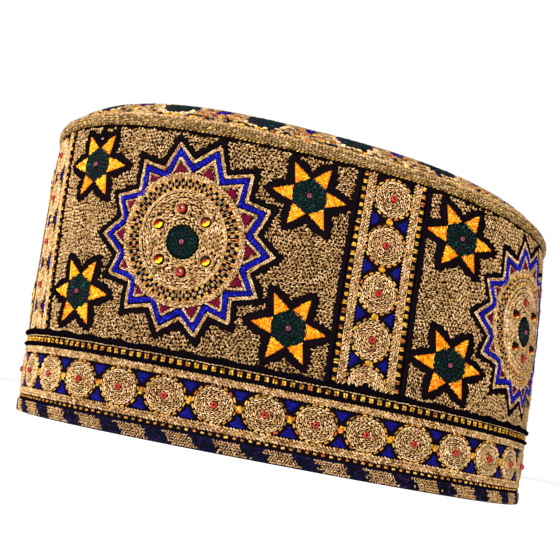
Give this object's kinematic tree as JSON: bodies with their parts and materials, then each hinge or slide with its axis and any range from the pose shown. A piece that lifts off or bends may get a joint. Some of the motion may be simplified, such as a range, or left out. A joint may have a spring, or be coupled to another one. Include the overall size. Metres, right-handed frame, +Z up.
{
  "type": "balochi embroidered cap",
  "caption": "Round stand-up cap with an upright embroidered wall, rolled hem, couched black cords, sewn-on stones and a low domed crown.",
  "frame": {"origin": "middle of the cap's outline in plan, on the plane that the rim stands on", "axes": "+Z up from the rim to the crown, -Y towards the side that the picture shows, +X towards the picture's right"},
  "size_m": [0.1886, 0.1814, 0.1098],
  "materials": {
    "wall_embroidery": "gold chain stitch with multicoloured star and rosette embroidery",
    "hem_embroidery": "navy binding with gold stitched bars",
    "roll_embroidery": "padded gold chain stitch",
    "crown_embroidery": "gold chain stitch with green, red, blue and yellow motifs",
    "black_cord": "couched black thread",
    "red_stone": "polished red cabochon",
    "amber_stone": "foil-backed amber cut stone"
  },
  "bodies": {
    "root": {"side_wall": "wall_embroidery", "hem": "hem_embroidery", "edge_roll": "roll_embroidery", "crown": "crown_embroidery", "upper_cord": "black_cord", "lower_cord": "black_cord", "stone_1_top": "red_stone", "stone_1_upper_right": "amber_stone", "stone_1_lower_right": "amber_stone", "stone_1_bottom": "red_stone", "stone_1_lower_left": "amber_stone", "stone_1_upper_left": "amber_stone", "stone_2_top": "red_stone", "stone_2_upper_right": "amber_stone", "stone_2_lower_right": "amber_stone", "stone_2_bottom": "red_stone", "stone_2_lower_left": "amber_stone", "stone_2_upper_left": "amber_stone", "stone_3_top": "red_stone", "stone_3_upper_right": "amber_stone", "stone_3_lower_right": "amber_stone", "stone_3_bottom": "red_stone", "stone_3_lower_left": "amber_stone", "stone_3_upper_left": "amber_stone", "stone_4_top": "red_stone", "stone_4_upper_right": "amber_stone", "stone_4_lower_right": "amber_stone", "stone_4_bottom": "red_stone", "stone_4_lower_left": "amber_stone", "stone_4_upper_left": "amber_stone", "stone_5_top": "red_stone", "stone_5_upper_right": "amber_stone", "stone_5_lower_right": "amber_stone", "stone_5_bottom": "red_stone", "stone_5_lower_left": "amber_stone", "stone_5_upper_left": "amber_stone"}
  },
  "joints": []
}
